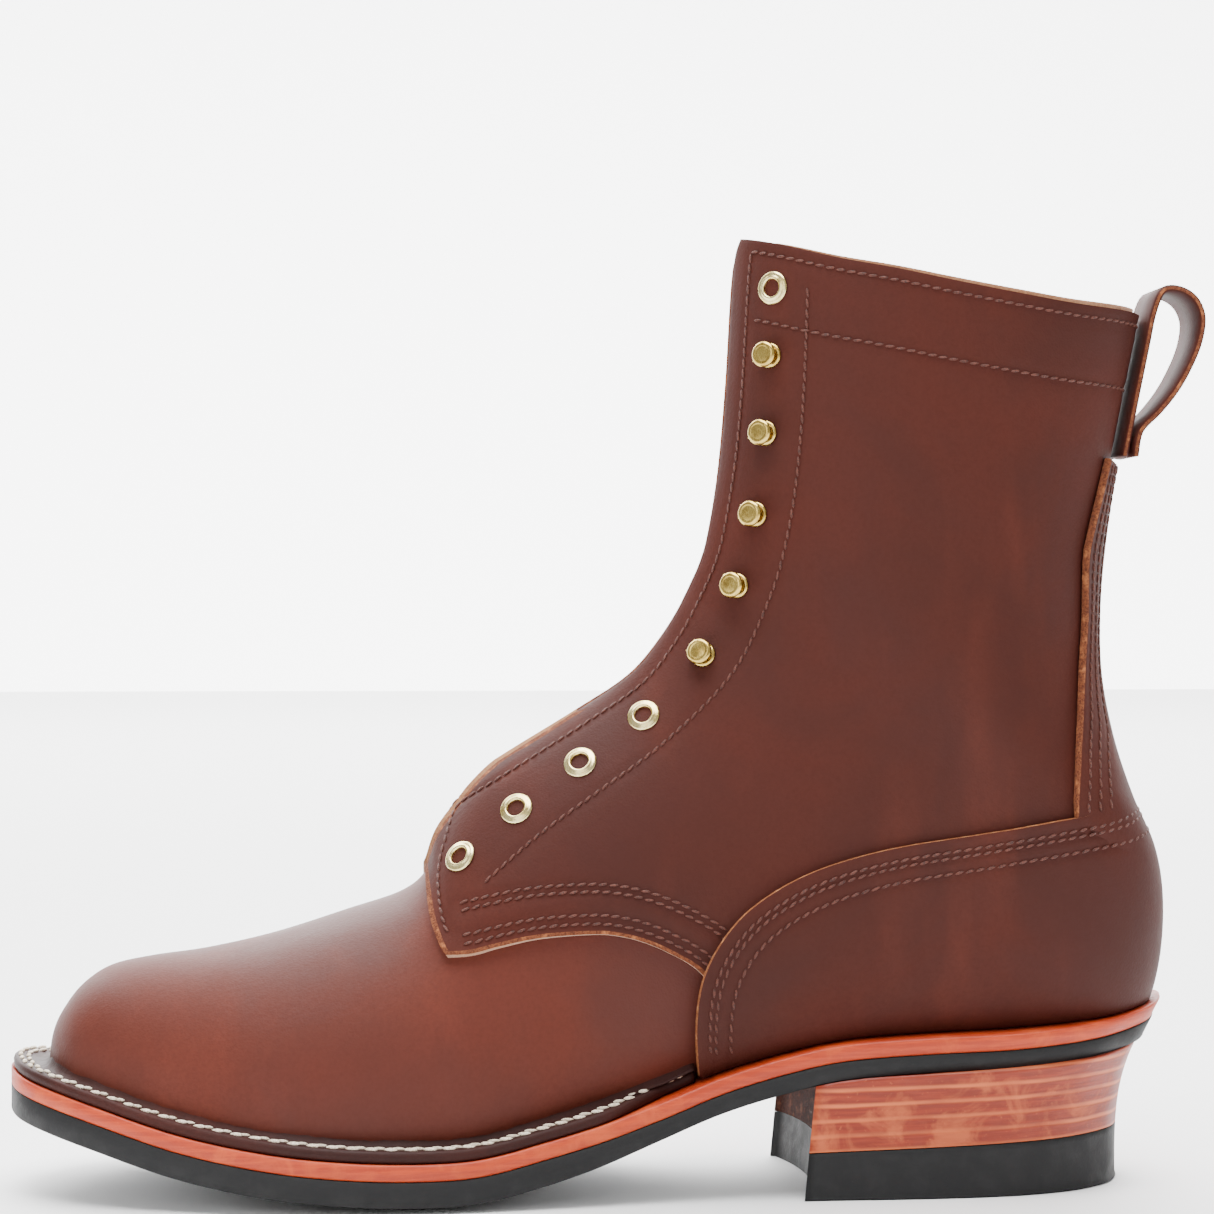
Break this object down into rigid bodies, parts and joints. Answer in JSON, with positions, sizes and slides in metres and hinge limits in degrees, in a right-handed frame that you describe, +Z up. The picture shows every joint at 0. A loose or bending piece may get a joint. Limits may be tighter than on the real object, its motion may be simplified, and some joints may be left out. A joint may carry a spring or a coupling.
{
  "type": "lace-up ankle boot",
  "caption": "Leather lace-up ankle boot for the left foot, stitched-down sole, stacked leather heel with rubber top lift, brass eyelets and hooks, pull loop at the back.",
  "frame": {"origin": "on the floor, under the heel, on the centre line of the heel seat", "axes": "+X runs from the heel to the toe, +Y to the outer side of the left foot, +Z up"},
  "size_m": [0.3233, 0.1058, 0.2544],
  "materials": {
    "upper_leather": "oiled reddish brown leather, worn, with raw tan edges",
    "tongue_leather": "matt brown leather",
    "insole_leather": "undyed vegetable tanned leather",
    "sole_leather": "orange tan sole leather, burnished edge",
    "sole_rubber": "matt black rubber",
    "brass": "pale polished brass"
  },
  "bodies": {
    "root": {"vamp": "upper_leather", "quarters": "upper_leather", "counter": "upper_leather", "backstay": "upper_leather", "pull_loop": "upper_leather", "tongue": "tongue_leather", "insole": "insole_leather", "midsole": "sole_leather", "heel_stack": "sole_leather", "outsole": "sole_rubber", "top_lift": "sole_rubber", "eyelet_outer_1": "brass", "eyelet_outer_2": "brass", "eyelet_outer_3": "brass", "eyelet_outer_4": "brass", "eyelet_outer_5": "brass", "eyelet_inner_1": "brass", "eyelet_inner_2": "brass", "eyelet_inner_3": "brass", "eyelet_inner_4": "brass", "eyelet_inner_5": "brass", "hook_outer_1": "brass", "hook_outer_2": "brass", "hook_outer_3": "brass", "hook_outer_4": "brass", "hook_outer_5": "brass", "hook_inner_1": "brass", "hook_inner_2": "brass", "hook_inner_3": "brass", "hook_inner_4": "brass", "hook_inner_5": "brass"}
  },
  "joints": []
}
